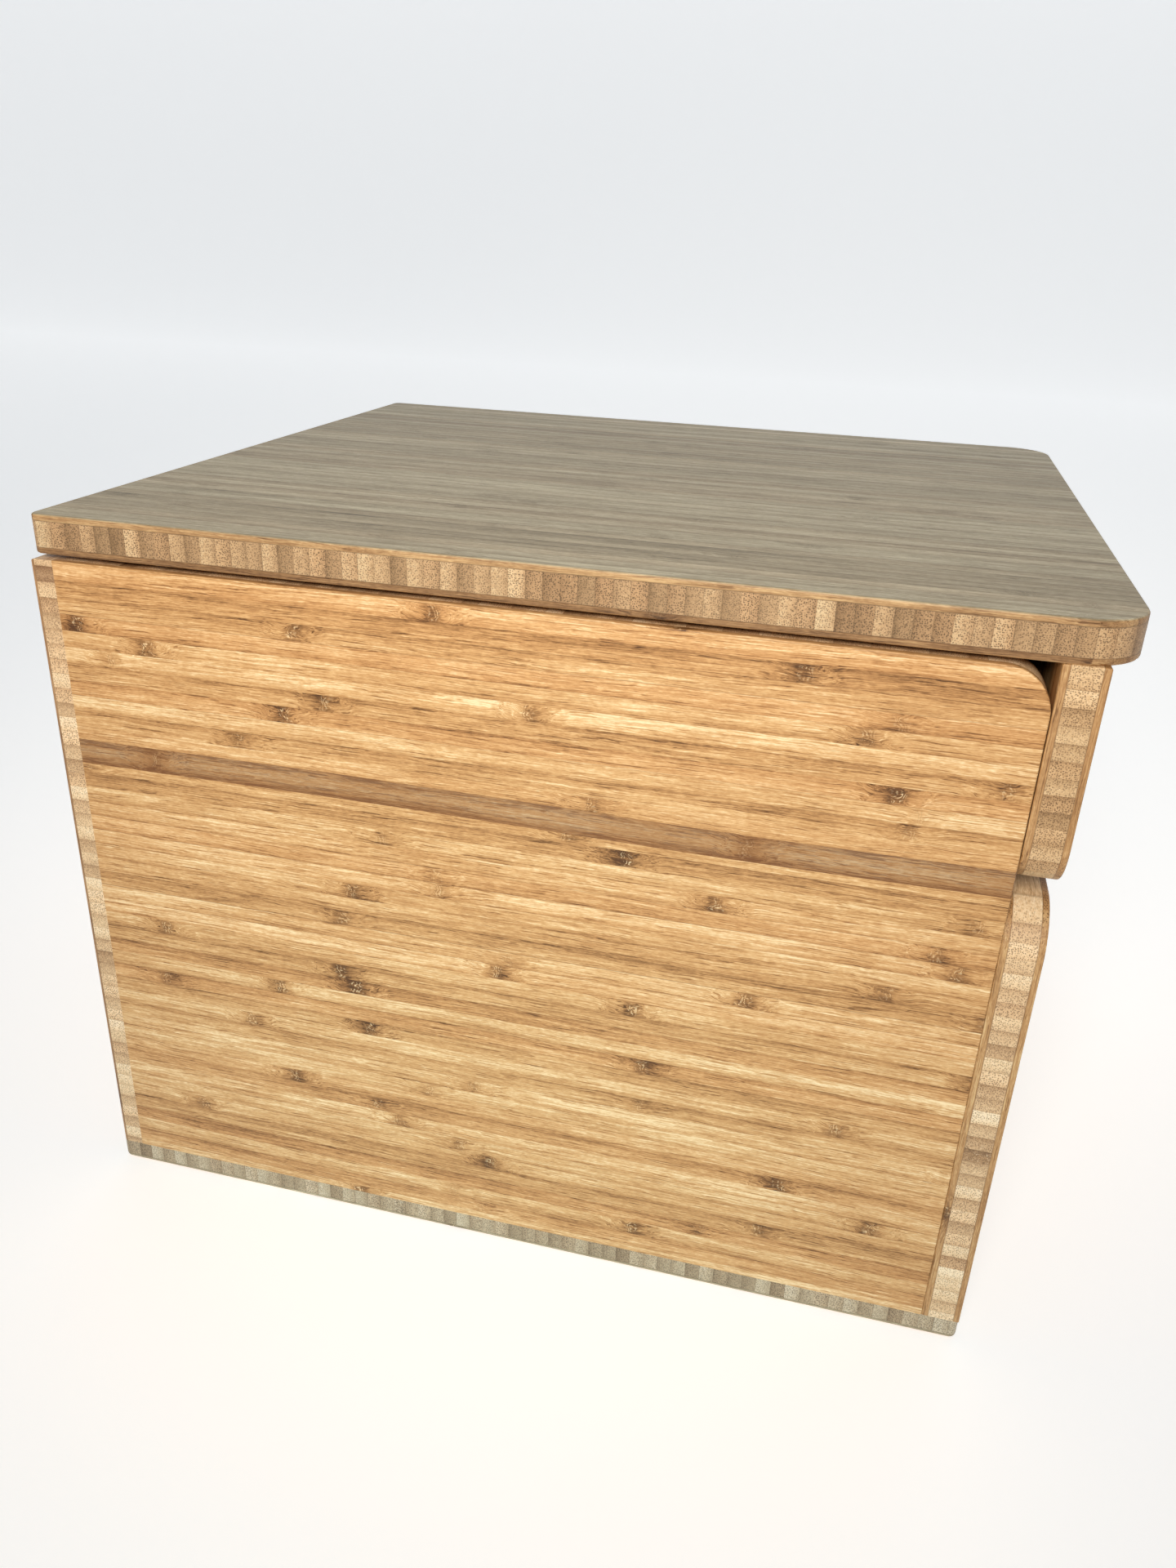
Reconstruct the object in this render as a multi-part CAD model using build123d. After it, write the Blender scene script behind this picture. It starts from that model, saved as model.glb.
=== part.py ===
"""Bread box with a flip-up lid, in three-ply bamboo board.

Frame: millimetres, +Z up, +Y to the back, +X to the right as seen from the front.
The origin is on the resting surface, under the middle of the whole object's footprint.

Every board is a core of upright strips between two face plies, so each board is three nodes.
The walls stand in a rebate that runs all round the bottom board. The sides are also let into
rebates in the back board, and the lower front is dowelled to the sides' front edges.
The lid carries a flap that closes the upper front, and two stop hinges join it to the back.
"""
from build123d import *
from math import cos, radians, sqrt
import os

# --- board stock -------------------------------------------------------------------------
board = 12.7                # finished thickness of every board
face_ply = 2.1              # thickness of each face ply; the core is what is left
rebate = 4.0                # depth of the rebates in the bottom and back boards

# --- overall sizes -----------------------------------------------------------------------
width = 301.5               # outside width, the same for body and lid
body_depth = 327.6          # from the lower front's face to the back face
side_top = 247.4            # height of the side and back boards' top edges
lower_front_top = 173.4     # height of the lower front board's top edge
flap_bottom = 179.7         # height of the flap's lower edge
lid_gap = 1.9               # air gap between the walls and the lid
lid_overhang = 9.1          # lid past the flap's outer face
lid_setback = 2.5           # lid's rear edge in front of the back face
flap_clearance = 0.25       # flap's inner face in front of the sides' front edges

# --- corner and edge rounding ------------------------------------------------------------
side_corner_r = 14.0        # sides' top front corners
lower_front_corner_r = 16.0
flap_corner_r = 15.0
lid_front_corner_r = 18.0   # in plan
lid_back_corner_r = 3.0     # in plan
outer_edge_r = 2.5          # back board's outer edges, bottom board's corners in plan
underside_edge_r = 2.0      # bottom board's lower edges
lid_edge_r = 0.8            # lid's upper and lower edges
fine_edge_r = 0.6           # sanded edges of the sides, front and flap

# --- hinges ------------------------------------------------------------------------------
hinge_inset = 62.0          # middle of each hinge from the side's outer face
hinge_length = 40.0         # along the pin
middle_knuckle = 14.0       # length of the upper leaf's knuckle
knuckle_gap = 0.15          # end float between knuckles
leaf = 0.9                  # leaf thickness
leaf_reach = 11.0           # from the pin's axis to the leaf's front edge
knuckle_r = 2.2
pin_r = 1.2
pin_running_clearance = 0.05    # radial, in the upper leaf's knuckle
pin_head_r = 1.9
pin_head = 0.7              # thickness of each peened head
sweep_clearance = 0.2       # between a knuckle and the other leaf
knuckle_clearance = 0.23    # between a knuckle and the back board's rounded top edge
opening_angle = 100.0       # travel at which the stop tails meet
stop_margin = 1.0           # angle still left between the tails at full travel
tail_reach = 6.5            # from the pin's axis to the stop tails' tips

# --- hinge screws ------------------------------------------------------------------------
screw_length = 9.0
screw_r = 1.1
screw_tip = 2.0             # length of the pointed end
screw_tip_r = 0.2
screw_head_r = 2.1
screw_head = 0.75           # height of the countersunk head
countersink_clearance = 0.05
screws_per_leaf = 3
screw_from_pin = 7.4        # screw row's distance from the pin's axis
screw_end_margin = 6.0      # outer screws from the leaf's ends
recess_width = 0.5          # cross recess in each screw head
recess_depth = 0.4
recess_margin = 0.84        # from the recess to the head's rim

# --- dowels and bumpers ------------------------------------------------------------------
dowel_r = 3.0
dowel_in_face = 8.0         # depth in a board that is drilled through its face
dowel_in_edge = 16.0        # depth in a board that is drilled into its edge
flap_dowel_count = 5
flap_dowel_margin = 30.0    # outermost dowels from the flap's ends
front_dowel_count = 3       # for each side
front_dowel_margin = 25.0   # outermost dowels from the lower front's ends
bumper_r = 2.8
bumper_edge_r = 0.8
bumper_clearance = 0.1      # under the closed lid
bumper_inset = 3.4          # middle of each bumper from the side's inner face
front_bumper = 34.0         # front bumpers behind the lower front's inner face
rear_bumper = 30.0          # rear bumpers in front of the back board's inner face

# --- places worked out from the sizes above ----------------------------------------------
half = width / 2
inner_half = half - board
wall_foot = board - rebate
lid_bottom = side_top + lid_gap
knuckle_to_edge = outer_edge_r + knuckle_r + knuckle_clearance    # between the two arcs' centres
pin_above_edge = outer_edge_r + lid_gap / 2                       # height between those centres
pin_behind_back = sqrt(knuckle_to_edge ** 2 - pin_above_edge ** 2) - outer_edge_r
tail_angle = (opening_angle + stop_margin) / 2
tail_tip = tail_reach * cos(radians(tail_angle))
total_depth = lid_overhang + flap_clearance + body_depth + pin_behind_back + tail_tip

lid_front = -total_depth / 2
flap_face = lid_front + lid_overhang
flap_inner = flap_face + board
front_face = flap_face + flap_clearance
front_inner = front_face + board
back_face = front_face + body_depth
back_inner = back_face - board
pin_y = back_face + pin_behind_back
pin_z = side_top + lid_gap / 2
hinge_middles = {"left": -half + hinge_inset, "right": half - hinge_inset}
same_place = 0.01           # two coordinates closer than this are the same

parts = {}


def block(x, y, z):
    """A box between the low and high limits given on each axis."""
    size = [limits[1] - limits[0] for limits in (x, y, z)]
    middle = [(limits[0] + limits[1]) / 2 for limits in (x, y, z)]
    return Pos(*middle) * Box(*size)


def rod(start, direction, radius, length):
    """A round rod that runs from a point along a direction."""
    return extrude(Plane(start, z_dir=direction) * Circle(radius), length)


def spread(low, high, count):
    """Evenly spaced places from low to high, both included."""
    return [low + (high - low) * step / (count - 1) for step in range(count)]


def edges_on(solid, **places):
    """The edges that lie wholly at the given coordinates, such as x=half and z=side_top."""
    def lies_there(edge):
        box = edge.bounding_box()
        return all(abs(getattr(end, axis.upper()) - place) < same_place
                   for axis, place in places.items() for end in (box.min, box.max))
    return [edge for edge in solid.edges() if lies_there(edge)]


def add_plies(name, solid, axis, start, layers):
    """Slice a finished board across its thickness into face ply, core and face ply."""
    beyond = width + total_depth + side_top
    cuts = [start - beyond, start + face_ply, start + board - face_ply, start + beyond]
    for layer, low, high in zip(layers, cuts, cuts[1:]):
        limits = {"x": (-beyond, beyond), "y": (-beyond, beyond), "z": (-beyond, beyond)}
        limits[axis] = (low, high)
        parts[f"{name}_{layer}"] = solid & block(**limits)


# --- places of the fastenings ------------------------------------------------------------
def hinge_screw_places():
    """Plan positions of the screws in one leaf of each hinge."""
    reach = hinge_length / 2 - screw_end_margin
    return [(middle + along, pin_y - screw_from_pin)
            for middle in hinge_middles.values() for along in spread(-reach, reach, screws_per_leaf)]


def flap_dowel_rods():
    """Upright dowels from the flap's core into the lid."""
    reach = half - flap_dowel_margin
    y = (flap_face + flap_inner) / 2
    return [rod((x, y, lid_bottom - dowel_in_edge), (0, 0, 1), dowel_r, dowel_in_edge + dowel_in_face)
            for x in spread(-reach, reach, flap_dowel_count)]


def front_dowel_rods():
    """Level dowels from the lower front into the cores of the two sides."""
    low, high = wall_foot + front_dowel_margin, lower_front_top - front_dowel_margin
    x = half - board / 2
    return [rod((side * x, front_inner - dowel_in_face, z), (0, 1, 0), dowel_r,
                dowel_in_face + dowel_in_edge)
            for side in (-1, 1) for z in spread(low, high, front_dowel_count)]


# --- boards of the body ------------------------------------------------------------------
def bottom_board():
    """The floor: its middle stands up between the walls, which rest in the rebate around it."""
    slab = block((-half, half), (front_face, back_face), (0, wall_foot))
    uprights = [edge for x in (-half, half) for y in (front_face, back_face)
                for edge in edges_on(slab, x=x, y=y)]
    slab = fillet(uprights, outer_edge_r)
    slab = fillet(edges_on(slab, z=0), underside_edge_r)
    return slab + block((-inner_half, inner_half), (front_inner, back_inner), (0, board))


def back_board():
    """The back, with a rebate down each end for the sides and pilot holes for the hinges."""
    slab = block((-half, half), (back_inner, back_face), (wall_foot, side_top))
    slab = fillet(edges_on(slab, y=back_inner, z=side_top), fine_edge_r)
    outer = [edge for x in (-half, half) for edge in edges_on(slab, x=x, y=back_face)]
    slab = fillet(outer + edges_on(slab, y=back_face, z=side_top), outer_edge_r)
    for x in ((-half, -inner_half), (inner_half, half)):
        slab -= block(x, (back_inner, back_inner + rebate), (wall_foot, side_top))
    for x, y in hinge_screw_places():
        slab -= rod((x, y, side_top), (0, 0, -1), screw_r, screw_length - leaf)
    return slab


def side_board(outer, inner):
    """A side between two X places; its top front corner is rounded and its edges are sanded."""
    slab = block((min(outer, inner), max(outer, inner)), (front_inner, back_inner + rebate),
                 (wall_foot, side_top))
    slab = fillet(edges_on(slab, y=front_inner, z=side_top), side_corner_r)
    slab = fillet(edges_on(slab, x=outer, z=side_top) + edges_on(slab, x=inner, z=side_top),
                  fine_edge_r)
    for dowel in front_dowel_rods():
        slab -= dowel
    return slab


def lower_front_board():
    """The fixed part of the front, with rounded top corners."""
    slab = block((-half, half), (front_face, front_inner), (wall_foot, lower_front_top))
    corners = [edge for x in (-half, half) for edge in edges_on(slab, x=x, z=lower_front_top)]
    slab = fillet(corners, lower_front_corner_r)
    slab = fillet([edge for y in (front_face, front_inner)
                   for edge in edges_on(slab, y=y, z=lower_front_top)], fine_edge_r)
    for dowel in front_dowel_rods():
        slab -= dowel
    return slab


# --- boards of the lid -------------------------------------------------------------------
def lid_board():
    """The lid, with large rounded front corners and small rear ones in plan."""
    lid_back = back_face - lid_setback
    slab = block((-half, half), (lid_front, lid_back), (lid_bottom, lid_bottom + board))
    for y, radius in ((lid_front, lid_front_corner_r), (lid_back, lid_back_corner_r)):
        slab = fillet([edge for x in (-half, half) for edge in edges_on(slab, x=x, y=y)], radius)
    slab = fillet(edges_on(slab, z=lid_bottom) + edges_on(slab, z=lid_bottom + board), lid_edge_r)
    for dowel in flap_dowel_rods():
        slab -= dowel
    for x, y in hinge_screw_places():
        slab -= rod((x, y, lid_bottom), (0, 0, 1), screw_r, screw_length - leaf)
    return slab


def flap_board():
    """The flap under the lid's front, with rounded lower corners to lift it by."""
    slab = block((-half, half), (flap_face, flap_inner), (flap_bottom, lid_bottom))
    for z, radius in ((flap_bottom, flap_corner_r), (lid_bottom, fine_edge_r)):
        slab = fillet([edge for x in (-half, half) for edge in edges_on(slab, x=x, z=z)], radius)
    slab = fillet(edges_on(slab, y=flap_face) + edges_on(slab, y=flap_inner), fine_edge_r)
    for dowel in flap_dowel_rods():
        slab -= dowel
    return slab


# --- hinges ------------------------------------------------------------------------------
def hinge_leaf(upper):
    """One leaf about a pin on the X axis at the origin, with its knuckles and stop tail.

    The lower leaf has the two outer knuckles and the upper leaf the middle one. Each leaf has
    a tail behind the pin, and the two tails' facing sides meet when the lid is fully open.
    """
    reach, middle = hinge_length / 2, middle_knuckle / 2
    if upper:
        plate_z = (lid_gap / 2 - leaf, lid_gap / 2)
        tail = Rot(X=tail_angle) * block((-reach, reach), (0, tail_reach), (0, leaf))
        knuckles = [(-middle, middle)]
        others = [(-reach, -middle), (middle, reach)]
        bore_r = pin_r + pin_running_clearance
    else:
        plate_z = (-lid_gap / 2, leaf - lid_gap / 2)
        tail = Rot(X=-tail_angle) * block((-reach, reach), (0, tail_reach), (-leaf, 0))
        knuckles = [(-reach, -middle - knuckle_gap), (middle + knuckle_gap, reach)]
        others = [(-middle - knuckle_gap, middle + knuckle_gap)]
        bore_r = pin_r
    shape = block((-reach, reach), (-leaf_reach, 0), plate_z) + tail
    for low, high in others:
        shape -= rod((low, 0, 0), (1, 0, 0), knuckle_r + sweep_clearance, high - low)
    for low, high in knuckles:
        shape += rod((low, 0, 0), (1, 0, 0), knuckle_r, high - low)
        shape -= rod((low, 0, 0), (1, 0, 0), bore_r, high - low)
    return shape


def screw(clearance=0.0):
    """A countersunk screw pointing down, its head's top at the origin."""
    profile = Polyline((0, 0), (screw_head_r + clearance, 0), (screw_r + clearance, -screw_head),
                       (screw_r + clearance, screw_tip - screw_length),
                       (screw_tip_r, -screw_length), (0, -screw_length), close=True)
    return revolve(Plane.XZ * make_face(profile), Axis.Z)


def cross_recess():
    """The driver's recess in a screw head."""
    arm = screw_head_r - recess_margin
    depth = (-recess_depth, 0)
    across = (-recess_width / 2, recess_width / 2)
    return block((-arm, arm), across, depth) + block(across, (-arm, arm), depth)


def add_hinges():
    """The leaves and pins of both hinges, and one group of screws for each kind of leaf."""
    fitted_screw = screw() - cross_recess()
    pointing = {"lower": (side_top + leaf, Rot()), "upper": (lid_bottom - leaf, Rot(X=180))}
    for kind, (z, turn) in pointing.items():
        places = [Pos(x, y, z) * turn for x, y in hinge_screw_places()]
        parts[f"{kind}_hinge_screws"] = Compound([place * fitted_screw for place in places])
        for side, middle in hinge_middles.items():
            shape = Pos(middle, pin_y, pin_z) * hinge_leaf(upper=kind == "upper")
            for place in places:
                shape -= place * screw(countersink_clearance)
            parts[f"{side}_hinge_{kind}_leaf"] = shape
    reach = hinge_length / 2
    pin = rod((-reach - pin_head, 0, 0), (1, 0, 0), pin_r, hinge_length + 2 * pin_head)
    for start in (-reach - pin_head, reach):
        pin += rod((start, 0, 0), (1, 0, 0), pin_head_r, pin_head)
    for side, middle in hinge_middles.items():
        parts[f"{side}_hinge_pin"] = Pos(middle, pin_y, pin_z) * pin


def add_bumpers():
    """Soft dots on the sides' top edges that hold the closed lid level."""
    height = lid_gap - bumper_clearance
    dot = rod((0, 0, 0), (0, 0, 1), bumper_r, height)
    dot = fillet(edges_on(dot, z=height), bumper_edge_r)
    places = [(side * (inner_half + bumper_inset), y, side_top) for side in (-1, 1)
              for y in (front_inner + front_bumper, back_inner - rear_bumper)]
    parts["lid_bumpers"] = Compound([Pos(*place) * dot for place in places])


add_plies("bottom", bottom_board(), "z", 0, ("lower_ply", "core", "upper_ply"))
add_plies("back", back_board(), "y", back_inner, ("inner_ply", "core", "outer_ply"))
add_plies("left_side", side_board(-half, -inner_half), "x", -half,
          ("outer_ply", "core", "inner_ply"))
add_plies("right_side", side_board(half, inner_half), "x", inner_half,
          ("inner_ply", "core", "outer_ply"))
add_plies("lower_front", lower_front_board(), "y", front_face, ("outer_ply", "core", "inner_ply"))
add_plies("lid", lid_board(), "z", lid_bottom, ("lower_ply", "core", "upper_ply"))
add_plies("flap", flap_board(), "y", flap_face, ("outer_ply", "core", "inner_ply"))
add_hinges()
add_bumpers()
parts["flap_dowels"] = Compound(flap_dowel_rods())
parts["lower_front_dowels"] = Compound(front_dowel_rods())

os.makedirs("parts", exist_ok=True)
for name, shape in parts.items():
    export_step(shape, f"parts/{name}.step")

print(f"{len(parts)} nodes; body faces at Y {front_face:.3f} and {back_face:.3f}")
print(f"hinge pin axis at Y {pin_y:.3f}, Z {pin_z:.3f}; depth over all {total_depth:.3f}")
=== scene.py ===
"""Finishes and stages a bamboo bread box with a flip-up lid.

The boards and hinges come in as a fixed frame, in metres, +Z up, the front towards -Y.
"""
import math

import bpy
import numpy as np
from mathutils import Matrix, Vector


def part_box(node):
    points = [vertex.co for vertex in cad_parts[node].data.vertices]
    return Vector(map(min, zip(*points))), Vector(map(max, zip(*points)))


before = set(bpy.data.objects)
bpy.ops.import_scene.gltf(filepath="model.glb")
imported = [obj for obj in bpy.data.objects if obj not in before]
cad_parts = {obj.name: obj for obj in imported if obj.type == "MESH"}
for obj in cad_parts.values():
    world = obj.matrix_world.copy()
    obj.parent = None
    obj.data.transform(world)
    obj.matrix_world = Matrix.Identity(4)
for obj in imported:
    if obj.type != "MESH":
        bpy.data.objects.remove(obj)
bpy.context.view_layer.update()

bl_info = {
    "name": "Bamboo bread box",
    "version": (1, 0, 0),
    "blender": (4, 5, 0),
    "location": "View3D > Sidebar > Bread box",
    "description": "Finishes the boards and hinges of a bamboo bread box and sets its stage",
    "category": "Object",
}

MM = 0.001
X, Y, Z = 0, 1, 2

MATH = "ShaderNodeMath"
VECTOR = "ShaderNodeVectorMath"
NOISE = "ShaderNodeTexNoise"
CELLS = "ShaderNodeTexVoronoi"
CHANCE = "ShaderNodeTexWhiteNoise"
RANGE = "ShaderNodeMapRange"
MIX = "ShaderNodeMix"
SPLIT = "ShaderNodeSeparateXYZ"
JOIN = "ShaderNodeCombineXYZ"
RAMP = "ShaderNodeValToRGB"
COORDS = "ShaderNodeTexCoord"
BUMP = "ShaderNodeBump"
SHADER = "ShaderNodeBsdfPrincipled"
OUTPUT = "ShaderNodeOutputMaterial"
MIX_A, MIX_B, MIX_OUT = 6, 7, 2     # the colour sockets of a Mix node


def linear(hex_colour):
    """An sRGB hex colour as linear red, green, blue and full alpha."""
    channels = [int(hex_colour[place:place + 2], 16) / 255 for place in (1, 3, 5)]
    return [c / 12.92 if c <= 0.04045 else ((c + 0.055) / 1.055) ** 2.4 for c in channels] + [1.0]


def add(tree, kind, inputs=None, out=0, stops=(), **settings):
    """Adds a node with its settings, links or sets its inputs, and returns one output socket."""
    node = tree.nodes.new(kind)
    for setting, value in settings.items():
        setattr(node, setting, value)
    for place, value in (inputs or {}).items():
        if isinstance(value, bpy.types.NodeSocket):
            tree.links.new(value, node.inputs[place])
        else:
            node.inputs[place].default_value = value
    for index, (place, colour) in enumerate(stops):
        elements = node.color_ramp.elements
        element = elements[index] if index < 2 else elements.new(place)
        element.position, element.color = place, colour
    return node.outputs[out] if node.outputs else None


def new_material(name):
    """An empty node material."""
    material = bpy.data.materials.new(name)
    material.use_nodes = True
    material.node_tree.nodes.clear()
    return material, material.node_tree


def paint(material, *nodes):
    """Gives CAD nodes a material."""
    for node in nodes:
        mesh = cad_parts[node].data
        mesh.materials.clear()
        mesh.materials.append(material)


# --- bamboo ------------------------------------------------------------------------------
# Each palette runs from the darkest fibre to the palest, at these places on the scale of tones.
TONE_PLACES = (0.0, 0.25, 0.5, 0.72, 1.0)
FACE_TONES = ("#50300F", "#8A6035", "#B88955", "#D0A570", "#EFD5A8")
COOL_LIT_TONES = ("#4E412A", "#7B6E51", "#988A6D", "#AC9F83", "#CBC1A2")         # greyed as painted cool light and sheen on the lid's top
EDGE_TONES = ("#452A13", "#7E5934", "#A1774B", "#B98F5F", "#D8B886")        # a ply's sawn edge
LID_EDGE_TONES = ("#3E2712", "#6C4B2C", "#8B6742", "#A47F55", "#C6A374")
WALL_CORE_TONES = ("#6E5238", "#A8855F", "#CDAB83", "#E3C59C", "#F5E2C3")
LID_CORE_TONES = ("#473420", "#7B5F3F", "#9E7E5A", "#B9976F", "#D8C098")
FLAP_CORE_TONES = ("#5A4026", "#94734E", "#BB986E", "#D6B58A", "#EED9B4")
BOTTOM_CORE_TONES = ("#504334", "#837057", "#A39074", "#BCAB8F", "#D5CAB3")
BLUSH = "#FFF9F5"               # what the pinkest strips are multiplied by
STAIN = "#643712"

BOARDS = {
    # board: (axis of the face grain, axis its strips are stacked on, core's grain, core's stack)
    "bottom": (Y, X, X, Y),
    "back": (Z, X, X, Z),
    "left_side": (Y, Z, Z, Y),
    "right_side": (Y, Z, Z, Y),
    "lower_front": (Z, X, X, Z),
    "lid": (Y, X, X, Y),
    "flap": (Z, X, X, Z),
}
CORE_SEED = 20                  # keeps a core's strips unlike its board's face strips

# sizes in the wood, in millimetres; the first three are finer in real bamboo, and are drawn
# coarse enough to show
BUNDLE_PITCH = 0.606            # between vascular bundles, really about 0.4
FIBRE = 0.32                    # thickness of the finest streaks, really about 0.1
GLUE_LINE = 0.22                # half the width of a glue line, really about 0.1
BUNDLE_LENGTH = 33.3            # before a bundle wanders off
HALO = 15.0                     # how far along the strip a growth node bends the fibres
SMUDGE = 5.5                    # half the length of its darker patch
HEART = 2.8                     # half the length of the patch of wavy lines in its middle
WAVE = 1.25                     # from one of those lines to the next


def bamboo(name, board, layer, tones, node_strength, edge_tones=None, stained=None):
    """Side-pressed caramel bamboo, planed, sanded and wiped with oil, as one solid pattern.

    Strips of the culm's wall are stacked along one axis, with their fibres along another. The
    vascular bundles are long dark rods, so they show as streaks along the grain and as dots on
    the end grain. Each strip has its own tone, its dense skin on one side, and growth nodes
    where the fibres curl. The oil leaves a satin surface with the fibres just felt.
    The layer is "face" or "core". A face ply has other tones on its sawn edges. A stained strip
    is a wider, browner one, given by its low and high edges in millimetres.
    """
    props = bpy.context.scene.bread_box_bamboo
    is_face = layer == "face"
    seed = list(BOARDS).index(board) + 1
    if is_face:
        grain, stack = BOARDS[board][:2]
        strip, contrast = props.face_strip / MM, props.strip_contrast
    else:
        grain, stack = BOARDS[board][2:]
        strip, contrast = props.core_strip / MM, props.core_contrast
        seed += CORE_SEED
    low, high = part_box(f"{board}_core")
    deep = min((X, Y, Z), key=lambda axis: high[axis] - low[axis])
    middle = (low[deep] + high[deep]) / 2 / MM
    half_core = (high[deep] - low[deep]) / 2 / MM

    material, tree = new_material(name)
    coords = add(tree, COORDS, out="Object")
    scaled = add(tree, VECTOR, {0: coords, "Scale": 1 / MM}, operation="SCALE")
    axes = add(tree, SPLIT, {0: scaled}).node.outputs
    along, across, through = axes[grain], axes[stack], axes[deep]
    place = add(tree, JOIN, {0: along, 1: across, 2: through})

    # which strip, and how far across it
    strips = add(tree, MATH, {0: across, 1: 1 / strip, 2: seed * 7.31}, operation="MULTIPLY_ADD")
    index = add(tree, MATH, {0: strips}, operation="FLOOR")
    part = add(tree, MATH, {0: strips}, operation="FRACT")
    stain = 0.0
    if stained:
        # its edges waver by about 1 mm, over some 170 mm of length
        waver = add(tree, NOISE, {"W": along, "Scale": 0.006, "Detail": 0.0},
                    noise_dimensions="1D")
        base = add(tree, MATH, {0: waver, 1: 2.4, 2: stained[0] - 1.2}, operation="MULTIPLY_ADD")
        above = add(tree, MATH, {0: across, 1: base}, operation="SUBTRACT")
        own_part = add(tree, MATH, {0: above, 1: 1 / (stained[1] - stained[0])},
                       operation="MULTIPLY")
        from_centre = add(tree, MATH, {0: own_part, 1: 0.5}, operation="SUBTRACT")
        beyond = add(tree, MATH, {0: from_centre}, operation="ABSOLUTE")
        stain = add(tree, MATH, {0: beyond, 1: 0.5}, operation="LESS_THAN")
        index = add(tree, MIX, {0: stain, 2: index, 3: -50.0}, data_type="FLOAT")
        part = add(tree, MIX, {0: stain, 2: part, 3: own_part}, data_type="FLOAT")
    upper = add(tree, MATH, {0: through, 1: middle}, operation="GREATER_THAN") if is_face else 0.0
    which = add(tree, JOIN, {0: index, 1: upper, 2: seed * 3.7})
    luck = add(tree, CHANCE, {"Vector": which}, noise_dimensions="3D").node.outputs
    own_tone = luck["Value"]
    lots = add(tree, SPLIT, {0: luck["Color"]}).node.outputs
    flipped = add(tree, MATH, {0: lots[0], 1: 0.5}, operation="GREATER_THAN")
    turned = add(tree, MATH, {0: 1.0, 1: part}, operation="SUBTRACT")
    skin = add(tree, MIX, {0: flipped, 2: part, 3: turned}, data_type="FLOAT")
    off_centre = add(tree, MATH, {0: part, 1: 0.5}, operation="SUBTRACT")
    edge = add(tree, MATH, {0: off_centre}, operation="ABSOLUTE")

    # growth nodes: one in each period of a strip, some faint, with an outline that wobbles by
    # up to 2 mm over 3 mm
    spacing = props.node_spacing / MM
    start = add(tree, MATH, {0: lots[1], 1: 9.7}, operation="MULTIPLY")
    count = add(tree, MATH, {0: along, 1: 1 / spacing, 2: start}, operation="MULTIPLY_ADD")
    cell = add(tree, MATH, {0: count}, operation="FLOOR")
    phase = add(tree, MATH, {0: count}, operation="FRACT")
    node_id = add(tree, JOIN, {0: index, 1: cell, 2: upper})
    node_luck = add(tree, CHANCE, {"Vector": node_id, "W": seed + 0.5},
                    noise_dimensions="4D").node.outputs
    node_lots = add(tree, SPLIT, {0: node_luck["Color"]}).node.outputs
    centre = add(tree, MATH, {0: node_luck["Value"], 1: 0.8, 2: 0.1}, operation="MULTIPLY_ADD")
    apart = add(tree, MATH, {0: phase, 1: centre}, operation="SUBTRACT")
    wobble = add(tree, NOISE, {"Vector": place, "Scale": 0.30, "Detail": 1.0})
    wobbled = add(tree, MATH, {0: wobble, 1: 4.0, 2: -2.0}, operation="MULTIPLY_ADD")
    distance = add(tree, MATH, {0: apart, 1: spacing, 2: wobbled}, operation="MULTIPLY_ADD")
    near = add(tree, MATH, {0: distance}, operation="ABSOLUTE")
    strength = add(tree, RANGE, {0: node_lots[0], 1: 0.0, 2: 0.75, 3: node_strength * 0.2,
                                 4: node_strength})
    facing = add(tree, MATH, {0: node_lots[1], 1: 0.5}, operation="GREATER_THAN")
    sign = add(tree, MATH, {0: facing, 1: 2.0, 2: -1.0}, operation="MULTIPLY_ADD")
    signed = add(tree, MATH, {0: distance, 1: sign}, operation="MULTIPLY")
    halo = add(tree, RANGE, {0: near, 1: HALO, 2: 1.0, 3: 0.0, 4: strength},
               interpolation_type="SMOOTHERSTEP")
    tail = add(tree, RANGE, {0: signed, 1: -2.0, 2: 2.0, 3: 0.25, 4: 1.0})
    fan = add(tree, MATH, {0: halo, 1: tail}, operation="MULTIPLY")
    smudge = add(tree, RANGE, {0: near, 1: SMUDGE, 2: 1.5, 3: 0.0, 4: strength},
                 interpolation_type="SMOOTHSTEP")

    # fibres that wander over 110 mm along the grain and 20 mm across it, and curl within 7 mm
    # along and 3 mm across, most of all at the growth nodes
    slow_place = add(tree, VECTOR, {0: place, 1: (0.009, 0.05, 0.05)}, operation="MULTIPLY")
    slow = add(tree, NOISE, {"Vector": slow_place, "Scale": 1.0, "Detail": 1.0}, out="Color")
    quick_place = add(tree, VECTOR, {0: place, 1: (0.14, 0.35, 0.35)}, operation="MULTIPLY")
    quick = add(tree, NOISE, {"Vector": quick_place, "Scale": 1.0, "Detail": 1.0}, out="Color")
    slow_shift = add(tree, VECTOR, {0: slow, 1: (0.0, 3.4, 3.4), 2: place},
                     operation="MULTIPLY_ADD")
    curl = add(tree, MATH, {0: halo, 1: 3.5, 2: 0.7}, operation="MULTIPLY_ADD")
    quick_size = add(tree, JOIN, {0: 0.0, 1: curl, 2: curl})
    fibre = add(tree, VECTOR, {0: quick, 1: quick_size, 2: slow_shift}, operation="MULTIPLY_ADD")

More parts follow.
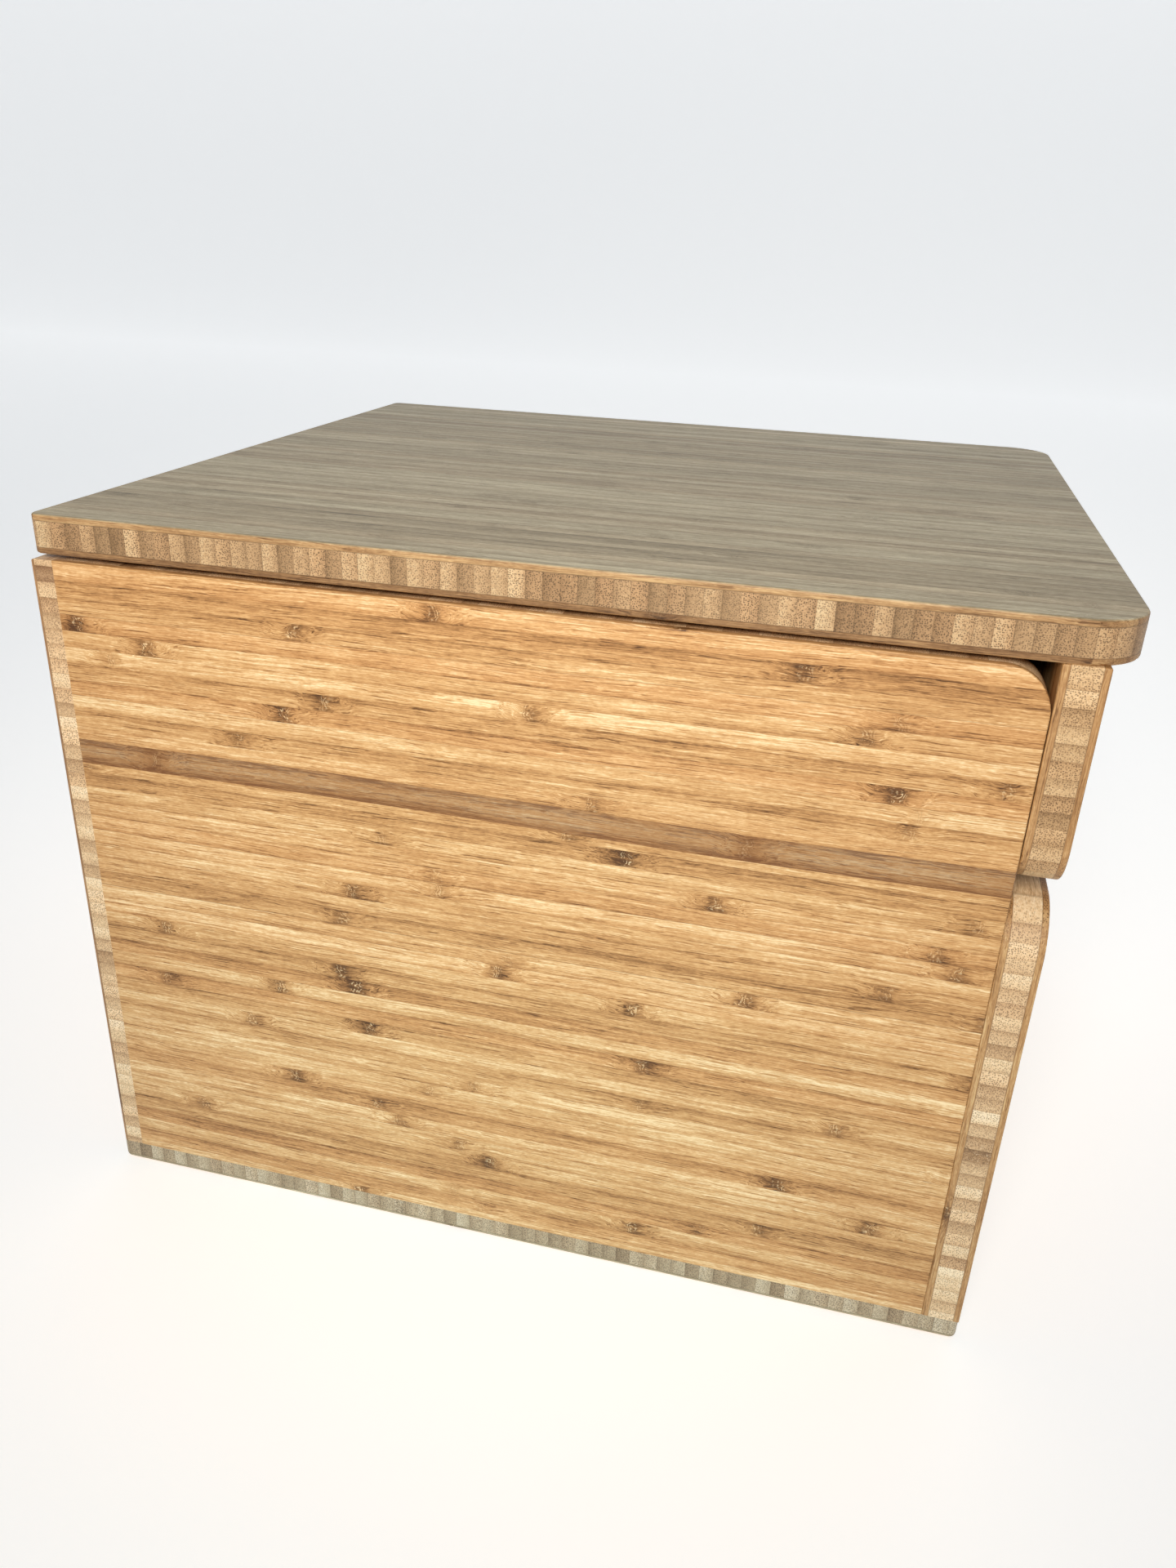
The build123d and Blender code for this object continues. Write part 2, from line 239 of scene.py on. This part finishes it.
    # noise drawn out along the grain: what it follows, its length and its thickness in
    # millimetres, its detail and its roughness
    row = add(tree, MATH, {0: index, 1: 40.0}, operation="MULTIPLY")
    own_line = add(tree, JOIN, {0: along, 1: row, 2: upper})
    streaks = {}
    for key, source, length, thickness, detail, rough in (
            ("fine", fibre, 14.0, FIBRE, 3.0, 0.65),
            ("broad", fibre, 50.0, 1.5, 2.0, 0.55),
            ("grit", fibre, 1.6, 0.30, 2.0, 0.55),
            ("dashes", fibre, 20.0, 0.42, 1.0, 0.55),
            ("ripple", fibre, 2.2, 1.3, 1.0, 0.55),
            ("patches", own_line, 70.0, 9.0, 1.0, 0.55),
            ("bend", place, 3.0, 2.2, 2.0, 0.55)):
        squeeze = (1 / length, 1 / thickness, 1 / thickness)
        stretched = add(tree, VECTOR, {0: source, 1: squeeze}, operation="MULTIPLY")
        streaks[key] = add(tree, NOISE, {"Vector": stretched, "Scale": 1.0, "Detail": detail,
                                         "Roughness": rough})

    bundle_size = (1 / BUNDLE_LENGTH, 1 / BUNDLE_PITCH, 1 / BUNDLE_PITCH)
    bundle_place = add(tree, VECTOR, {0: fibre, 1: bundle_size}, operation="MULTIPLY")
    bundles = add(tree, CELLS, {"Vector": bundle_place, "Scale": 1.0, "Randomness": 0.7})
    rods = add(tree, RANGE, {0: bundles, 1: 0.50, 2: 0.18, 3: 0.0, 4: 1.0},
               interpolation_type="SMOOTHSTEP")

    # tone, from dark to light: what is added to the strip's own tone, its weight and its offset
    dense = add(tree, MATH, {0: skin, 1: 3.0}, operation="POWER")
    dark_dash = add(tree, RANGE, {0: streaks["dashes"], 1: 0.60, 2: 0.69, 3: 0.0, 4: 1.0})
    light_dash = add(tree, RANGE, {0: streaks["dashes"], 1: 0.40, 2: 0.30, 3: 0.0, 4: 1.0})
    tone = add(tree, MATH, {0: own_tone, 1: contrast, 2: 0.60 - contrast / 2},
               operation="MULTIPLY_ADD")
    streaky = 0.0
    for source, weight, offset in ((streaks["broad"], 0.50, -0.25),
                                   (streaks["fine"], 0.95, -0.475),
                                   (streaks["grit"], 0.42, -0.21),
                                   (streaks["ripple"], 0.24, -0.12), (dark_dash, -0.30, 0.0),
                                   (light_dash, 0.14, 0.0), (fan, -0.26, 0.0),
                                   (smudge, -0.21, 0.0)):
        weighted = add(tree, MATH, {0: source, 1: weight, 2: offset}, operation="MULTIPLY_ADD")
        streaky = add(tree, MATH, {0: streaky, 1: weighted}, operation="ADD")
    normal = add(tree, COORDS, out="Normal")
    normal_axes = add(tree, SPLIT, {0: normal}).node.outputs
    facing_end = add(tree, MATH, {0: normal_axes[grain]}, operation="ABSOLUTE")
    end = add(tree, RANGE, {0: facing_end, 1: 0.25, 2: 0.85, 3: 0.0, 4: 1.0})
    long_grain = add(tree, MATH, {0: end, 1: -0.55, 2: 1.0}, operation="MULTIPLY_ADD")
    tone = add(tree, MATH, {0: streaky, 1: long_grain, 2: tone}, operation="MULTIPLY_ADD")
    for source, weight, offset in ((streaks["patches"], 0.40, -0.20), (dense, -0.20, 0.05)):
        weighted = add(tree, MATH, {0: source, 1: weight, 2: offset}, operation="MULTIPLY_ADD")
        tone = add(tree, MATH, {0: tone, 1: weighted}, operation="ADD")
    wood = add(tree, RAMP, {0: tone}, stops=tuple(zip(TONE_PLACES, map(linear, tones))))
    blush = add(tree, RANGE, {0: lots[1], 1: 0.35, 2: 1.0, 3: 0.0, 4: 1.0})
    wood = add(tree, MIX, {0: blush, MIX_A: wood, MIX_B: linear(BLUSH)}, MIX_OUT,
               data_type="RGBA", blend_type="MULTIPLY")
    if is_face:
        flat = add(tree, MATH, {0: normal_axes[deep]}, operation="ABSOLUTE")
        sawn = add(tree, RANGE, {0: flat, 1: 0.9, 2: 0.4, 3: 0.0, 4: 1.0})
        edge_stops = tuple(zip(TONE_PLACES, map(linear, edge_tones)))
        sawn_wood = add(tree, RAMP, {0: tone}, stops=edge_stops)
        wood = add(tree, MIX, {0: sawn, MIX_A: wood, MIX_B: sawn_wood}, MIX_OUT,
                   data_type="RGBA")
    dark, light = linear(tones[0]), linear(tones[-1])

    # at a growth node, dark fibres between two or three pale wavy lines across the strip
    bent = add(tree, MATH, {0: streaks["bend"], 1: 5.0, 2: distance}, operation="MULTIPLY_ADD")
    wave = add(tree, MATH, {0: bent, 1: math.tau / WAVE}, operation="MULTIPLY")
    crest = add(tree, MATH, {0: wave}, operation="SINE")
    broken = add(tree, RANGE, {0: streaks["ripple"], 1: 0.42, 2: 0.62, 3: 0.0, 4: 0.7})
    pale = add(tree, RANGE, {0: crest, 1: 0.35, 2: 0.95, 3: 0.0, 4: broken})
    trough = add(tree, RANGE, {0: crest, 1: 0.1, 2: -0.9, 3: 0.0, 4: 0.5})
    heart = add(tree, RANGE, {0: near, 1: HEART, 2: 0.8, 3: 0.0, 4: strength},
                interpolation_type="SMOOTHSTEP")
    inside = add(tree, RANGE, {0: edge, 1: 0.48, 2: 0.30, 3: 0.0, 4: 1.0})
    for shade, colour in ((trough, dark), (pale, light)):
        masked = add(tree, MATH, {0: shade, 1: heart}, operation="MULTIPLY")
        kept = add(tree, MATH, {0: masked, 1: inside}, operation="MULTIPLY")
        wood = add(tree, MIX, {0: kept, MIX_A: wood, MIX_B: colour}, MIX_OUT, data_type="RGBA")

    # about one strip in fifty is stained, in streaks that crowd towards its edges
    chosen = add(tree, RANGE, {0: own_tone, 1: 0.022, 2: 0.018, 3: 0.0, 4: 0.8 * node_strength})
    chosen = add(tree, MATH, {0: chosen, 1: stain}, operation="MAXIMUM")
    ragged = add(tree, MATH, {0: edge, 1: 0.35, 2: streaks["fine"]}, operation="MULTIPLY_ADD")
    ragged = add(tree, MATH, {0: streaks["broad"], 1: 0.35, 2: ragged}, operation="MULTIPLY_ADD")
    outer = add(tree, RANGE, {0: ragged, 1: 0.72, 2: 0.88, 3: 0.46, 4: 0.90})
    stain_depth = add(tree, MATH, {0: chosen, 1: outer}, operation="MULTIPLY")
    wood = add(tree, MIX, {0: stain_depth, MIX_A: wood, MIX_B: linear(STAIN)}, MIX_OUT,
               data_type="RGBA")

    # the bundles stand out on the end grain, and hardly show along it
    rod_luck = add(tree, RANGE, {0: lots[1], 1: 0.0, 2: 1.0, 3: 0.42, 4: 0.78})
    rod_depth = add(tree, MATH, {0: end, 1: rod_luck, 2: 0.08}, operation="MULTIPLY_ADD")
    rod_shade = add(tree, MATH, {0: rods, 1: rod_depth}, operation="MULTIPLY")

    # glue lines between strips, and between the plies
    seam_luck = add(tree, MATH, {0: lots[2], 1: 2.5 if is_face else 1.2}, operation="POWER")
    seam = add(tree, RANGE, {0: edge, 1: 0.5 - GLUE_LINE / strip, 2: 0.5, 3: 0.0, 4: seam_luck})
    from_middle = add(tree, MATH, {0: through, 1: middle}, operation="SUBTRACT")
    out_from = add(tree, MATH, {0: from_middle}, operation="ABSOLUTE")
    joint_gap = add(tree, MATH, {0: out_from, 1: half_core}, operation="SUBTRACT")
    joint_near = add(tree, MATH, {0: joint_gap}, operation="ABSOLUTE")
    joint = add(tree, RANGE, {0: joint_near, 1: GLUE_LINE, 2: 0.04, 3: 0.0, 4: 0.9})
    glue = add(tree, MATH, {0: seam, 1: joint}, operation="MAXIMUM")
    glue_shade = add(tree, MATH, {0: glue, 1: 0.6}, operation="MULTIPLY")
    shade = add(tree, MATH, {0: rod_shade, 1: glue_shade}, operation="MAXIMUM")
    wood = add(tree, MIX, {0: shade, MIX_A: wood, MIX_B: dark}, MIX_OUT, data_type="RGBA")

    rough = add(tree, RANGE, {0: streaks["fine"], 1: 0.2, 2: 0.8, 3: 0.54, 4: 0.42})
    relief = add(tree, MATH, {0: rods, 1: -0.6, 2: streaks["fine"]}, operation="MULTIPLY_ADD")
    bump = add(tree, BUMP, {"Strength": 0.25, "Distance": 0.1 * MM, "Height": relief})
    shader = add(tree, SHADER, {"Base Color": wood, "Roughness": rough, "Normal": bump,
                                "IOR": 1.5, "Specular IOR Level": 0.35})
    add(tree, OUTPUT, {"Surface": shader})
    return material


def finish_board(board, face_tones=FACE_TONES, core_tones=WALL_CORE_TONES,
                 edge_tones=EDGE_TONES, node_strength=1.0, stained=None):
    """Gives a board's face plies and core their bamboo."""
    face = bamboo(f"{board}_face_bamboo", board, "face", face_tones, node_strength, edge_tones,
                  stained)
    core = bamboo(f"{board}_core_bamboo", board, "core", core_tones, node_strength)
    plies = [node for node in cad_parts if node.startswith(board) and node.endswith("_ply")]
    paint(face, *plies)
    paint(core, f"{board}_core")


# --- metal, dowels, bumpers and paper -----------------------------------------------------
def nickel_plate():
    """Pressed steel with a satin nickel plate: soft reflections, faint rolling lines along X.

    The lines repeat about every 0.2 mm, coarser than real rolling marks, so that they show.
    """
    props = bpy.context.scene.bread_box_hardware
    material, tree = new_material("satin_nickel_plate")
    coords = add(tree, COORDS, out="Object")
    lines = add(tree, VECTOR, {0: coords, 1: (80.0, 5000.0, 5000.0)}, operation="MULTIPLY")
    rolled = add(tree, NOISE, {"Vector": lines, "Scale": 1.0, "Detail": 3.0})
    smears = add(tree, NOISE, {"Vector": coords, "Scale": 160.0, "Detail": 2.0})    # 6 mm
    wear = add(tree, MATH, {0: rolled, 1: 0.16, 2: smears}, operation="MULTIPLY_ADD")
    rough = add(tree, RANGE, {0: wear, 1: 0.3, 2: 0.9, 3: 0.24, 4: 0.40})
    dull = [c * 0.82 for c in props.nickel[:3]] + [1.0]
    colour = add(tree, MIX, {0: smears, MIX_A: tuple(props.nickel), MIX_B: dull}, MIX_OUT,
                 data_type="RGBA")
    bump = add(tree, BUMP, {"Strength": 0.2, "Distance": 0.02 * MM, "Height": rolled})
    shader = add(tree, SHADER, {"Base Color": colour, "Roughness": rough, "Normal": bump,
                                "Metallic": 1.0})
    add(tree, OUTPUT, {"Surface": shader})
    return material


def drawn_steel():
    """Drawn steel wire, as pins are made from: brighter, with lines along the wire.

    The die's lines are about 0.15 mm apart, coarser than real ones, so that they show.
    """
    props = bpy.context.scene.bread_box_hardware
    material, tree = new_material("drawn_steel")
    coords = add(tree, COORDS, out="Object")
    lines = add(tree, VECTOR, {0: coords, 1: (30.0, 7000.0, 7000.0)}, operation="MULTIPLY")
    drawn = add(tree, NOISE, {"Vector": lines, "Scale": 1.0, "Detail": 2.0})
    rough = add(tree, RANGE, {0: drawn, 1: 0.3, 2: 0.7, 3: 0.18, 4: 0.32})
    bump = add(tree, BUMP, {"Strength": 0.2, "Distance": 0.02 * MM, "Height": drawn})
    shader = add(tree, SHADER, {"Base Color": tuple(props.steel), "Roughness": rough,
                                "Normal": bump, "Metallic": 1.0})
    add(tree, OUTPUT, {"Surface": shader})
    return material


def zinc_plate():
    """Zinc-plated screws, headed from steel wire: slightly blue, with a cloudy, uneven gloss."""
    props = bpy.context.scene.bread_box_hardware
    material, tree = new_material("zinc_plate")
    coords = add(tree, COORDS, out="Object")
    clouds = add(tree, NOISE, {"Vector": coords, "Scale": 900.0, "Detail": 3.0})    # 1.1 mm
    rough = add(tree, RANGE, {0: clouds, 1: 0.3, 2: 0.7, 3: 0.22, 4: 0.45})
    blue = [props.zinc[0] * 0.85, props.zinc[1] * 0.9, props.zinc[2], 1.0]
    colour = add(tree, MIX, {0: clouds, MIX_A: tuple(props.zinc), MIX_B: blue}, MIX_OUT,
                 data_type="RGBA")
    shader = add(tree, SHADER, {"Base Color": colour, "Roughness": rough, "Metallic": 1.0})
    add(tree, OUTPUT, {"Surface": shader})
    return material


def turned_beech():
    """Turned beech dowel, left raw: pale pinkish wood, dull, with dark flecks 0.7 mm apart."""
    material, tree = new_material("turned_beech")
    coords = add(tree, COORDS, out="Object")
    flecks = add(tree, NOISE, {"Vector": coords, "Scale": 1400.0, "Detail": 2.0})
    bands = add(tree, NOISE, {"Vector": coords, "Scale": 260.0, "Detail": 2.0})     # 4 mm
    mixed = add(tree, MATH, {0: flecks, 1: 0.4, 2: bands}, operation="MULTIPLY_ADD")
    wood = add(tree, RAMP, {0: mixed}, stops=((0.45, linear("#B98D67")), (0.75, linear("#DDBB96"))))
    bump = add(tree, BUMP, {"Strength": 0.2, "Distance": 0.05 * MM, "Height": flecks})
    shader = add(tree, SHADER, {"Base Color": wood, "Roughness": 0.7, "Normal": bump})
    add(tree, OUTPUT, {"Surface": shader})
    return material


def cast_polyurethane():
    """Cast polyurethane bumper: clear and soft, faintly yellow, with a slight bloom."""
    props = bpy.context.scene.bread_box_hardware
    material, tree = new_material("cast_polyurethane")
    coords = add(tree, COORDS, out="Object")
    bloom = add(tree, NOISE, {"Vector": coords, "Scale": 700.0, "Detail": 3.0})     # 1.4 mm
    rough = add(tree, RANGE, {0: bloom, 1: 0.3, 2: 0.7, 3: 0.18, 4: 0.34})
    dusty = [c * 0.9 for c in props.bumper[:3]] + [1.0]
    colour = add(tree, MIX, {0: bloom, MIX_A: tuple(props.bumper), MIX_B: dusty}, MIX_OUT,
                 data_type="RGBA")
    shader = add(tree, SHADER, {"Base Color": colour, "Roughness": rough,
                                "Transmission Weight": 0.6, "IOR": 1.5})
    add(tree, OUTPUT, {"Surface": shader})
    return material


def paper_sweep():
    """Uncoated backdrop paper: matt and even, with a fine tooth, and a glow that keeps it pale.

    The tooth is about 1 mm across, coarser than real paper's, so that it shows.
    """
    props = bpy.context.scene.bread_box_stage
    material, tree = new_material("pale_paper_sweep")
    coords = add(tree, COORDS, out="Object")
    tooth = add(tree, NOISE, {"Vector": coords, "Scale": 900.0, "Detail": 2.0})
    shade = [c * 0.99 for c in props.floor_colour[:3]] + [1.0]
    colour = add(tree, MIX, {0: tooth, MIX_A: tuple(props.floor_colour), MIX_B: shade}, MIX_OUT,
                 data_type="RGBA")
    shader = add(tree, SHADER, {"Base Color": colour, "Roughness": 0.9,
                                "Specular IOR Level": 0.1,
                                "Emission Color": linear("#FFFFFF"),
                                "Emission Strength": props.floor_glow})
    add(tree, OUTPUT, {"Surface": shader})
    return material


# --- settings ----------------------------------------------------------------------------
class BreadBoxBamboo(bpy.types.PropertyGroup):
    face_strip: bpy.props.FloatProperty(
        name="Face strip", description="Width of the strips that show on a board's faces",
        default=5.6 * MM, min=MM, unit="LENGTH")
    core_strip: bpy.props.FloatProperty(
        name="Core strip", description="Width of the strips in a board's core",
        default=5.2 * MM, min=MM, unit="LENGTH")
    node_spacing: bpy.props.FloatProperty(
        name="Node spacing", description="Mean distance between growth nodes along a strip",
        default=200 * MM, min=20 * MM, unit="LENGTH")
    strip_contrast: bpy.props.FloatProperty(
        name="Strip contrast", description="How much the strips differ in tone",
        default=0.26, min=0.0, max=1.0)
    core_contrast: bpy.props.FloatProperty(
        name="Core contrast", description="How much the core's strips differ in tone",
        default=0.42, min=0.0, max=1.0)
    stained_low: bpy.props.FloatProperty(
        name="Stained strip's lower edge", description="Height of the left side's stained strip",
        default=177.2 * MM, unit="LENGTH")
    stained_high: bpy.props.FloatProperty(
        name="Stained strip's upper edge", description="Height of its upper edge",
        default=186.0 * MM, unit="LENGTH")


class BreadBoxHardware(bpy.types.PropertyGroup):
    nickel: bpy.props.FloatVectorProperty(
        name="Nickel", description="Colour of the plated hinge leaves", subtype="COLOR", size=4,
        default=linear("#D0CBC2"), min=0.0, max=1.0)
    steel: bpy.props.FloatVectorProperty(
        name="Pin steel", description="Colour of the hinge pins", subtype="COLOR", size=4,
        default=linear("#BDBBB8"), min=0.0, max=1.0)
    zinc: bpy.props.FloatVectorProperty(
        name="Screw zinc", description="Colour of the plated screws", subtype="COLOR", size=4,
        default=linear("#C9CBCD"), min=0.0, max=1.0)
    bumper: bpy.props.FloatVectorProperty(
        name="Bumper", description="Colour of the soft bumpers", subtype="COLOR", size=4,
        default=linear("#E4E1D6"), min=0.0, max=1.0)


class BreadBoxStage(bpy.types.PropertyGroup):
    floor_colour: bpy.props.FloatVectorProperty(
        name="Floor", description="Colour of the floor and backdrop", subtype="COLOR", size=4,
        default=linear("#F6F6F6"), min=0.0, max=1.0)
    floor_glow: bpy.props.FloatProperty(
        name="Floor glow", description="Strength of the light that the sweep gives out",
        default=0.46, min=0.0)
    key_power: bpy.props.FloatProperty(
        name="Key power", description="Power of the large light beside the camera",
        default=1.72, min=0.0, unit="POWER")
    low_power: bpy.props.FloatProperty(
        name="Low power", description="Power of the small cool light near the floor",
        default=0.10, min=0.0, unit="POWER")
    key_colour: bpy.props.FloatVectorProperty(
        name="Key colour", description="Colour of the light beside the camera",
        subtype="COLOR", size=4, default=linear("#FFF6E9"), min=0.0, max=1.0)
    world_strength: bpy.props.FloatProperty(
        name="Fill", description="Strength of the even light from all round",
        default=0.28, min=0.0)
    lens: bpy.props.FloatProperty(
        name="Lens", description="Focal length on a 36 mm long side, in millimetres",
        default=27.15, min=5.0)
    roll: bpy.props.FloatProperty(
        name="Camera roll", description="How far the camera leans clockwise",
        default=math.radians(2.30), subtype="ANGLE")
    camera_place: bpy.props.FloatVectorProperty(
        name="Camera place", description="Where the camera stands", subtype="TRANSLATION",
        unit="LENGTH", default=(-0.4711, -0.0955, 0.3478))
    camera_aim: bpy.props.FloatVectorProperty(
        name="Camera aim", description="A point on the left side that the camera looks at",
        subtype="TRANSLATION", unit="LENGTH", default=(-0.15075, -0.0213, 0.1952))


# --- operators ---------------------------------------------------------------------------
class BREADBOX_OT_bottom(bpy.types.Operator):
    """Finish the bottom board"""
    bl_idname = "breadbox.bottom"
    bl_label = "Bottom board"

    def execute(self, context):
        # the bottom's sawn edges take the palette that is greyed as painted cool light on the lid's
        # top
        finish_board("bottom", core_tones=BOTTOM_CORE_TONES, edge_tones=COOL_LIT_TONES)
        return {"FINISHED"}


class BREADBOX_OT_walls(bpy.types.Operator):
    """Finish the back, the two sides and the lower front"""
    bl_idname = "breadbox.walls"
    bl_label = "Walls"

    def execute(self, context):
        props = context.scene.bread_box_bamboo
        for board in ("back", "right_side", "lower_front"):
            finish_board(board)
        finish_board("left_side", stained=(props.stained_low / MM, props.stained_high / MM))
        return {"FINISHED"}


class BREADBOX_OT_lid(bpy.types.Operator):
    """Finish the lid, its top greyed with painted cool light and sheen and its underside in the
    warm bamboo tone, and its flap
    """
    bl_idname = "breadbox.lid"
    bl_label = "Lid and flap"

    def execute(self, context):
        # the lid's top takes the palette greyed as painted cool light and sheen; its underside
        # keeps the warm face tones
        finish_board("lid", COOL_LIT_TONES, LID_CORE_TONES, LID_EDGE_TONES, node_strength=0.35)
        paint(bamboo("lid_underside_bamboo", "lid", "face", FACE_TONES, 0.7, LID_EDGE_TONES),
              "lid_lower_ply")
        finish_board("flap", core_tones=FLAP_CORE_TONES)
        return {"FINISHED"}


class BREADBOX_OT_hinges(bpy.types.Operator):
    """Finish the hinge leaves, pins and screws"""
    bl_idname = "breadbox.hinges"
    bl_label = "Hinges"

    def execute(self, context):
        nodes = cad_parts
        paint(nickel_plate(), *[node for node in nodes if node.endswith("_leaf")])
        paint(drawn_steel(), *[node for node in nodes if node.endswith("_hinge_pin")])
        paint(zinc_plate(), "lower_hinge_screws", "upper_hinge_screws")
        return {"FINISHED"}


class BREADBOX_OT_dowels(bpy.types.Operator):
    """Finish the dowels in the flap and the lower front"""
    bl_idname = "breadbox.dowels"
    bl_label = "Dowels"

    def execute(self, context):
        paint(turned_beech(), "flap_dowels", "lower_front_dowels")
        return {"FINISHED"}


class BREADBOX_OT_bumpers(bpy.types.Operator):
    """Finish the bumpers that the lid rests on"""
    bl_idname = "breadbox.bumpers"
    bl_label = "Bumpers"

    def execute(self, context):
        paint(cast_polyurethane(), "lid_bumpers")
        return {"FINISHED"}


def backdrop_surface(half_width, near, far, radius, height, bends=24):
    """A sheet carried straight along Y: level floor, a quarter circle, then an upright wall.

    The profile runs in X, away from the camera: the arc's points are at
    (far + radius * sin t, radius * (1 - cos t)) for t from nothing to a quarter turn.
    """
    turn = np.linspace(0, math.pi / 2, bends)
    run = np.concatenate(([near], far + radius * np.sin(turn), [far + radius]))
    rise = np.concatenate(([0.0], radius * (1 - np.cos(turn)), [height]))
    rows = len(run)
    vertices = np.stack([np.tile(run, 2), np.repeat([half_width, -half_width], rows),
                         np.tile(rise, 2)], axis=1)
    first = np.arange(rows - 1)
    faces = np.stack([first, first + 1, first + 1 + rows, first + rows], axis=1)[:, ::-1]
    mesh = bpy.data.meshes.new("floor_sweep")
    mesh.from_pydata(vertices.tolist(), [], faces.tolist())
    mesh.shade_smooth()
    return bpy.data.objects.new("floor_sweep", mesh)


def area_light(name, place, aim, size, power, colour, spread):
    """A square soft light that faces a point, its beam as wide as the spread."""
    light = bpy.data.lights.new(name, "AREA")
    light.size = size
    light.energy = power
    light.spread = spread
    light.color = colour[:3]
    lamp = bpy.data.objects.new(name, light)
    lamp.location = place
    lamp.rotation_euler = (Vector(aim) - Vector(place)).to_track_quat("-Z", "Y").to_euler()
    bpy.context.scene.collection.objects.link(lamp)


class BREADBOX_OT_stage(bpy.types.Operator):
    """Set the floor, the soft lights and the camera"""
    bl_idname = "breadbox.stage"
    bl_label = "Stage"

    def execute(self, context):
        props = context.scene.bread_box_stage
        scene = context.scene
        floor = backdrop_surface(half_width=6.0, near=-4.0, far=3.0, radius=1.5, height=6.0)
        scene.collection.objects.link(floor)
        floor.data.materials.append(paper_sweep())

        world = bpy.data.worlds.new("soft_room")
        world.use_nodes = True
        background = world.node_tree.nodes["Background"]
        background.inputs["Color"].default_value = linear("#E8F2FA")
        background.inputs["Strength"].default_value = props.world_strength
        scene.world = world
        area_light("key_softbox", (-1.1, 0.0, 0.84), (-0.15, 0.0, 0.41), 0.45,
                   props.key_power, tuple(props.key_colour), math.radians(50))
        area_light("low_softbox", (-1.15, 0.0, 0.13), (0.0, 0.0, 0.02), 0.2,
                   props.low_power, linear("#B0F0FF"), math.radians(30))

        data = bpy.data.cameras.new("camera")
        data.sensor_width = 36.0
        data.lens = props.lens
        data.clip_start = 0.01
        camera = bpy.data.objects.new("camera", data)
        look = Vector(props.camera_aim) - Vector(props.camera_place)
        level = look.to_track_quat("-Z", "Y").to_matrix().to_4x4()
        lean = Matrix.Rotation(props.roll, 4, "Z")
        camera.matrix_world = Matrix.Translation(props.camera_place) @ level @ lean
        scene.collection.objects.link(camera)
        scene.camera = camera
        scene.view_settings.view_transform = "Standard"
        return {"FINISHED"}


class BREADBOX_PT_panel(bpy.types.Panel):
    """Lists the box's finishes and the stage"""
    bl_idname = "BREADBOX_PT_panel"
    bl_label = "Bread box"
    bl_space_type = "VIEW_3D"
    bl_region_type = "UI"
    bl_category = "Bread box"

    def draw(self, context):
        for group in (context.scene.bread_box_bamboo, context.scene.bread_box_hardware,
                      context.scene.bread_box_stage):
            box = self.layout.box()
            for setting in group.bl_rna.properties:
                if setting.identifier not in ("name", "rna_type"):
                    box.prop(group, setting.identifier)
        for operator in OPERATORS:
            self.layout.operator(operator.bl_idname)


GROUPS = {"bread_box_bamboo": BreadBoxBamboo, "bread_box_hardware": BreadBoxHardware,
          "bread_box_stage": BreadBoxStage}
OPERATORS = (BREADBOX_OT_bottom, BREADBOX_OT_walls, BREADBOX_OT_lid, BREADBOX_OT_hinges,
             BREADBOX_OT_dowels, BREADBOX_OT_bumpers, BREADBOX_OT_stage)


def register():
    for cls in (*GROUPS.values(), *OPERATORS, BREADBOX_PT_panel):
        bpy.utils.register_class(cls)
    for name, group in GROUPS.items():
        setattr(bpy.types.Scene, name, bpy.props.PointerProperty(type=group))


def unregister():
    for name in GROUPS:
        delattr(bpy.types.Scene, name)
    for cls in reversed((*GROUPS.values(), *OPERATORS, BREADBOX_PT_panel)):
        bpy.utils.unregister_class(cls)


def main():
    register()
    for operator in OPERATORS:
        module, name = operator.bl_idname.split(".")
        getattr(getattr(bpy.ops, module), name)()


if __name__ == "__main__":
    main()
